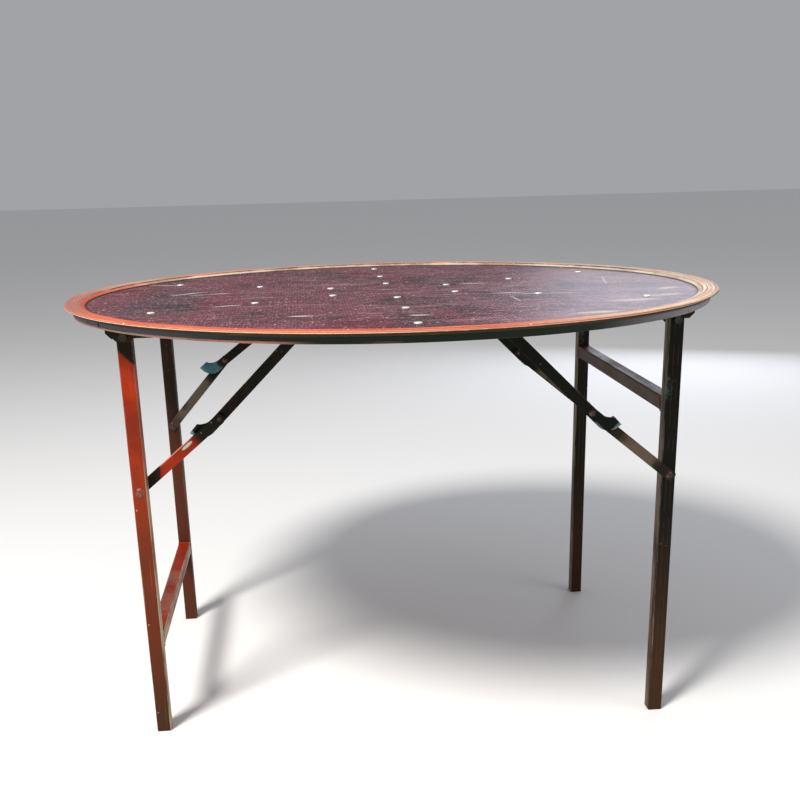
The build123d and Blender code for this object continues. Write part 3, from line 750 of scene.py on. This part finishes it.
def paint_tube(tube, **look):
    """Gives a leg or a crossbar a steel paint of its own."""
    dress(steel_paint(f"{tube}_paint", tube=tube, **look), tube)


def paint_left_frame():
    """Red oxide, browner towards the feet; the back leg is dark above as painted shadow, and the
    front leg's top is painted shadow too.
    """
    beige = rgb(176, 162, 134)
    brown_foot = fade_down(rgb(84, 42, 22), 0.30, 0.62)
    dark_foot = fade_down(rgb(52, 36, 20), 0.0, 0.24)
    paint_tube(
        "left_front_leg",
        coat=rgb(150, 44, 15),
        second=rgb(108, 38, 20),
        bare=rgb(186, 140, 106),
        long_axis=Z_AXIS,
        wear=0.55,
        side=beige,
        # painted shadow of the table top on the front leg's top
        extra=several(brown_foot, dark_foot, painted_top_shadow),
    )
    # painted shadow: the back leg's dark coat above, turning red-brown below
    paint_tube(
        "left_back_leg",
        coat=rgb(40, 30, 20),
        second=rgb(64, 42, 30),
        bare=rgb(112, 100, 66),
        long_axis=Z_AXIS,
        wear=0.7,
        extra=fade_down(rgb(84, 40, 26), 0.36, 0.52),
    )
    paint_tube(
        "left_crossbar",
        coat=rgb(134, 38, 16),
        second=rgb(92, 38, 24),
        bare=beige,
        long_axis=Y_AXIS,
        side=beige,
        extra=patch_along(CENTRE, ALONG_Y, -0.16, 0.06, rgb(116, 92, 80), 0.45),
    )


def paint_right_frame():
    """Dark green over red oxide; the crossbar is browner."""
    for end in ENDS:
        tube = f"right_{end}_leg"
        paint_tube(
            tube,
            coat=rgb(17, 19, 9),
            second=rgb(36, 26, 16),
            bare=rgb(108, 94, 74),
            long_axis=Z_AXIS,
            side=rgb(112, 98, 78),
            extra=leg_marks(tube, rgb(60, 38, 22), rgb(62, 92, 84)),
        )
    paint_tube(
        "right_crossbar",
        coat=rgb(56, 32, 22),
        second=rgb(104, 50, 36),
        bare=rgb(138, 98, 76),
        long_axis=Y_AXIS,
        wear=0.6,
        extra=patch_along(CENTRE, ALONG_Y, -0.27, 0.12, rgb(74, 72, 56), 0.5),
    )


def link_directions(side, end):
    """Knee point and unit directions from the knee to the bracket and to the leg rivet."""
    knee = pivots[f"{side}_{end}_knee"]
    bracket = pivots[f"{side}_{end}_upper_pivot"]
    rivet_low, rivet_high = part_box(f"{side}_{end}_link_rivet")
    rivet = (rivet_low + rivet_high) / 2
    up = Vector((bracket.x - knee.x, 0, bracket.z - knee.z)).normalized()
    down = Vector((rivet.x - knee.x, 0, rivet.z - knee.z)).normalized()
    return knee, up, down


def paint_lower_link(side, end, coat, second, marks):
    """A lower link: its own marks, and painted shadow under the hook."""
    knee, _, down = link_directions(side, end)
    name = f"{side}_{end}_lower_link"
    material = steel_paint(
        f"{name}_paint",
        coat=coat,
        second=second,
        bare=rgb(140, 118, 92),
        long_axis=Y_AXIS,
        extra=several(marks(knee, down), painted_knee_shadow(knee, down)),
    )
    dress(material, name)


def paint_upper_link(side, end):
    """An upper link: dark green with painted highlights on the hook; the back left one is teal
    further along its tail.
    """
    knee, up, _ = link_directions(side, end)
    name = f"{side}_{end}_upper_link"
    on_left = side == "left"
    marks = hook_marks(knee, -up, rgb(96, 134, 142) if on_left else rgb(116, 140, 142))
    if (side, end) == ("left", "back"):
        teal_tail = patch_along(knee, -up, 0.020, 0.080, rgb(70, 110, 116), 0.9, 0.008)
        marks = several(teal_tail, marks)
    material = steel_paint(
        f"{name}_paint",
        coat=DARK_GREEN,
        second=rgb(52, 26, 17) if on_left else rgb(26, 26, 15),
        bare=rgb(104, 92, 70),
        long_axis=Y_AXIS,
        extra=marks,
    )
    dress(material, name)


def patch_on_link(start, end, patch_colour):
    """Marks for a lower link: one lighter patch between two distances from the knee."""

    def marks(knee, down):
        return patch_along(knee, down, start, end, patch_colour, 0.85)

    return marks


def paint_braces():
    """Upper and lower links: dark paint, lighter patches, and painted highlights on the hooks; the
    patches on the back left and right front lower links are painted sunlight.
    """
    # painted sunlight: the lighter patches on the back left and right front lower links
    sunlit_grey = patch_on_link(0.070, 0.150, rgb(104, 94, 82))
    sunlit_khaki = patch_on_link(0.085, 0.140, rgb(112, 98, 78))
    worn_olive = patch_on_link(0.070, 0.130, rgb(96, 84, 66))
    red, dull_red = rgb(136, 38, 14), rgb(98, 40, 22)
    paint_lower_link("left", "front", red, dull_red, left_front_link_marks)
    paint_lower_link("left", "back", rgb(66, 54, 44), rgb(86, 70, 60), sunlit_grey)
    paint_lower_link("right", "front", rgb(38, 34, 22), rgb(58, 48, 34), sunlit_khaki)
    paint_lower_link("right", "back", rgb(30, 28, 18), rgb(60, 36, 26), worn_olive)
    for side in SIDES:
        for end in ENDS:
            paint_upper_link(side, end)


def bright_screws():
    """Zinc-plated screw heads, a little dulled, with painted shade in the recess."""
    paint = Paint("screw_plating")
    cloud = paint.noise(260.0, 4.0)
    head_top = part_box("top_screws")[1].z
    recess = paint.step(paint.z, head_top - 0.0003, head_top - 0.0007)
    colour = paint.mix(cloud, rgb(252, 252, 250), rgb(224, 226, 228))
    # painted shade: darker grey down in the cross recess
    colour = paint.mix(paint.times(recess, 0.35), colour, rgb(96, 98, 100))
    normal = paint.bump(paint.noise(900.0, 3.0), 0.0001)
    return paint.finish(colour, paint.plus(0.22, paint.times(cloud, 0.2)), normal, metallic=0.3)


def worn_steel(name, coat, bare, metallic):
    """Rivets, bolts and washers: painted over once, with lighter mottling that is partly bare metal
    and partly painted highlight.
    """
    paint = Paint(name)
    cloud = paint.noise(170.0, 5.0, 0.65)
    # the lighter mottling: bare metal and painted highlight
    colour = paint.mix(paint.step(cloud, 0.50, 0.66), coat, bare)
    normal = paint.bump(paint.noise(480.0, 4.0), 0.0002)
    roughness = paint.plus(0.3, paint.times(cloud, 0.3))
    return paint.finish(colour, roughness, normal, metallic=metallic)


# ---------------------------------------------------------------- extra pieces


def piece_from(build, name, body, material, smooth=False):
    """Turns a bmesh into a piece that rides on a body."""
    bmesh.ops.recalc_face_normals(build, faces=build.faces)
    for face in build.faces:
        face.smooth = smooth
    mesh = bpy.data.meshes.new(name)
    build.to_mesh(mesh)
    build.free()
    piece = bpy.data.objects.new(name, mesh)
    scene.collection.objects.link(piece)
    piece.data.materials.append(material)
    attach(piece, body)
    return piece


def bead_path(corners, spacing, closed):
    """Evenly spaced points along straight runs between corner points."""
    path = []
    count = len(corners)
    for index in range(count if closed else count - 1):
        start, end = corners[index], corners[(index + 1) % count]
        steps = max(2, round((end - start).length / spacing))
        for step in range(steps):
            path.append(start.lerp(end, step / steps))
    if not closed:
        path.append(corners[-1])
    return path


def bead(name, corners, radius, body, material, closed=True):
    """A rippled weld bead along straight runs between corner points."""
    ripple, sides = 0.0042, 8
    ripple_height, unevenness, end_share = 0.16, 0.07, 0.5
    random.seed(name)
    path = bead_path(corners, ripple / 3, closed)
    total = len(path)
    build = bmesh.new()
    rings = []
    travelled = 0.0
    for index, point in enumerate(path):
        before = path[index - 1] if index or closed else point
        after = path[(index + 1) % total] if index < total - 1 or closed else point
        travelled += (point - before).length
        tangent = (after - before).normalized()
        side = tangent.orthogonal().normalized()
        other = tangent.cross(side)
        wave = ripple_height * math.sin(2 * math.pi * travelled / ripple)
        swell = 1 + wave + random.uniform(-unevenness, unevenness)
        if not closed and index in (0, total - 1):
            swell *= end_share
        ring = []
        for k in range(sides):
            angle = 2 * math.pi * k / sides
            outward = side * math.cos(angle) + other * math.sin(angle)
            ring.append(build.verts.new(point + outward * radius * swell))
        rings.append(ring)
    for index in range(total if closed else total - 1):
        ring, following = rings[index], rings[(index + 1) % total]
        offset = min(range(sides), key=lambda k: (following[k].co - ring[0].co).length)
        for k in range(sides):
            nearer, farther = (k + offset) % sides, (k + 1 + offset) % sides
            after_k = ring[(k + 1) % sides]
            build.faces.new((ring[k], after_k, following[farther], following[nearer]))
    if not closed:
        build.faces.new(rings[0][::-1])
        build.faces.new(rings[-1])
    piece_from(build, name, body, material, smooth=True)


def crossbar_beads():
    """A weld bead round each end of both crossbars."""
    radius = 0.0021
    inset = 0.0012
    for side in SIDES:
        low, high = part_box(f"{side}_crossbar")
        material = nodes[f"{side}_crossbar"].data.materials[0]
        left, right = low.x + inset, high.x - inset
        outline = ((left, low.z), (right, low.z), (right, high.z), (left, high.z))
        for end, sign in (("front", -1), ("back", 1)):
            y = sign * (high.y - radius * 0.45)
            bead(
                f"{side}_{end}_crossbar_weld",
                [Vector((x, y, z)) for x, z in outline],
                radius,
                f"{side}_leg_frame",
                material,
            )


def spider_beads(material):
    """Beads where each arm meets the hub, under the board."""
    hub_low, hub_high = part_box("spider_hub")
    apothem = hub_high.y
    half_width = 0.0135
    radius = 0.0018
    for number in range(1, ARM_COUNT + 1):
        angle = math.radians(360 / ARM_COUNT * (number - 0.5))
        outward = Vector((math.cos(angle), math.sin(angle), 0))
        sideways = Vector((-outward.y, outward.x, 0)) * half_width
        middle = outward * apothem + Vector((0, 0, hub_low.z))
        corners = [middle - sideways, middle + sideways]
        bead(f"hub_weld_{number}", corners, radius, "root", material, closed=False)


def curved_plate(name, start, end, low, high, thickness, material):
    """A thin plate on the apron between two directions in degrees, with rounded edges."""
    steps = 10
    inner = APRON_RADIUS - 0.0002
    outer = inner + thickness
    section = ((inner, low), (outer, low), (outer, high), (inner, high))
    build = bmesh.new()
    columns = []
    for step in range(steps + 1):
        angle = math.radians(start + (end - start) * step / steps)
        outward = Vector((math.cos(angle), math.sin(angle), 0))
        columns.append(
            [build.verts.new(outward * radius + Vector((0, 0, z))) for radius, z in section]
        )
    for first, second in zip(columns, columns[1:]):
        for k in range(4):
            build.faces.new((first[k], first[(k + 1) % 4], second[(k + 1) % 4], second[k]))
    build.faces.new(columns[0][::-1])
    build.faces.new(columns[-1])
    piece = piece_from(build, name, "root", material)
    rounding = piece.modifiers.new("rounding", "BEVEL")
    rounding.width = thickness * 0.45
    rounding.segments = 2


def apron_splice(material):
    """The plate and two beads that close the apron ring, at its left front."""
    low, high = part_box("apron_ring")
    thickness = 0.0012
    start, end = 207.5, 212.0
    plate_margin, bead_margin = 0.001, 0.0015
    bead_radius = 0.0014
    bottom, top = low.z + plate_margin, high.z - plate_margin
    curved_plate("apron_splice", start, end, bottom, top, thickness, material)
    for name, degrees in (("a", start), ("b", end)):
        angle = math.radians(degrees)
        foot = Vector((math.cos(angle), math.sin(angle), 0)) * (APRON_RADIUS + thickness * 0.4)
        corners = [foot + Vector((0, 0, z)) for z in (low.z + bead_margin, high.z - bead_margin)]
        bead(
            f"apron_splice_weld_{name}",
            corners,
            bead_radius,
            "root",
            material,
            closed=False,
        )


# ---------------------------------------------------------------- stage, light, camera


def make_floor():
    """A plain pale floor, half a millimetre under the feet."""
    size = 40.0
    gap = 0.0005
    mesh = bpy.data.meshes.new("floor")
    mesh.from_pydata(
        [(-size, -size, 0), (size, -size, 0), (size, size, 0), (-size, size, 0)], [], [(0, 1, 2, 3)]
    )
    floor = bpy.data.objects.new("floor", mesh)
    scene.collection.objects.link(floor)
    floor.location.z = -gap
    floor.data.materials.append(Paint("floor").finish(rgb(236, 236, 236), 0.9, specular=0.1))


def area_light(name, location, target, size, power, colour):
    """A round soft light at one place, aimed at another."""
    data = bpy.data.lights.new(name, "AREA")
    data.shape = "DISK"
    data.size = size
    data.energy = power
    data.color = colour
    light = bpy.data.objects.new(name, data)
    light.location = location
    aim = Vector(target) - Vector(location)
    light.rotation_euler = aim.to_track_quat("-Z", "Y").to_euler()
    scene.collection.objects.link(light)


def make_lights():
    """Soft key from the left front, fill from the right, and a soft light behind."""
    warm, cool, blue = (1.0, 0.97, 0.92), (0.95, 0.97, 1.0), (0.86, 0.90, 1.0)
    table = (0, 0, 0.6)
    table_right = (0.4, 0, 0.75)
    area_light("key", (-2.0, -2.4, 4.0), table, size=1.2, power=300, colour=warm)
    area_light("fill", (3.2, -2.0, 1.8), table, size=2.5, power=18, colour=cool)
    area_light("sky", (1.9, 3.6, 1.35), table_right, size=1.7, power=26, colour=blue)
    world = bpy.data.worlds.new("studio")
    world.use_nodes = True
    background = world.node_tree.nodes["Background"]
    background.inputs["Color"].default_value = (0.95, 0.96, 1.0, 1)
    background.inputs["Strength"].default_value = 0.38
    scene.world = world
    scene.view_settings.view_transform = "Standard"


def make_camera():
    """A camera at the reference view: standing height, a little left of the table."""
    position = Vector((-0.1677, -2.1044, 0.9685))
    pitch, roll, yaw = math.radians(18.74), math.radians(1.49), math.radians(4.44)
    forward = Vector(
        (math.sin(yaw) * math.cos(pitch), math.cos(yaw) * math.cos(pitch), -math.sin(pitch))
    )
    level = Vector((math.cos(yaw), -math.sin(yaw), 0))
    down = forward.cross(level)
    right = math.cos(roll) * level + math.sin(roll) * down
    up = math.sin(roll) * level - math.cos(roll) * down
    turn = Matrix((right, up, -forward)).transposed()
    data = bpy.data.cameras.new("camera")
    data.sensor_width = 36.0
    data.lens = 48.85
    data.shift_x = 0.0057
    data.shift_y = 0.1760
    camera = bpy.data.objects.new("camera", data)
    camera.matrix_world = Matrix.Translation(position) @ turn.to_4x4()
    scene.collection.objects.link(camera)
    scene.camera = camera


# ---------------------------------------------------------------- put together


def paint_top():
    """The film, the rim, its lip and the board."""
    dress(film_face(), "top_skin")
    dress(rim_paint(), "rim_cap", "rim_bevel")
    dress(lip_paint(), "rim_lip")
    dress(plywood(), "table_board")


def paint_underframe(material):
    """The hub, its arms, the rails and the brackets."""
    dress(material, "spider_hub", "front_rail", "back_rail")
    dress(material, *(f"spider_arm_{number}" for number in range(1, ARM_COUNT + 1)))
    dress(material, *(f"{side}_{end}_bracket" for side in SIDES for end in ENDS))


def paint_fasteners():
    """Screws, bolts, and rivets with their washers; the left legs' rivets are redder."""
    bolt_steel = worn_steel("pivot_steel", rgb(20, 22, 14), rgb(58, 52, 42), 0.2)
    rivet_steel = worn_steel("rivet_steel", rgb(46, 26, 18), rgb(122, 80, 62), 0.3)
    red_steel = worn_steel("left_rivet_steel", rgb(104, 42, 27), rgb(138, 74, 54), 0.1)
    dress(bright_screws(), "top_screws")
    dress(bolt_steel, "leg_pivot_bolts", "leg_pivot_nuts", "leg_pivot_spacers", "bracket_screws")
    rivets = [name for name in nodes if name.endswith(("rivet", "rivets", "knee_spacer"))]
    dress(rivet_steel, *rivets)
    dress(red_steel, "left_leg_rivets")


apron = apron_paint()
under = steel_paint(
    "under_paint",
    coat=rgb(30, 32, 22),
    second=rgb(80, 46, 32),
    bare=rgb(120, 104, 82),
    long_axis=X_AXIS,
    wear=0.4,
)
paint_top()
dress(apron, "apron_ring")
paint_underframe(under)
paint_fasteners()
paint_left_frame()
paint_right_frame()
paint_braces()
crossbar_beads()
spider_beads(under)
apron_splice(apron)
make_floor()
make_lights()
make_camera()
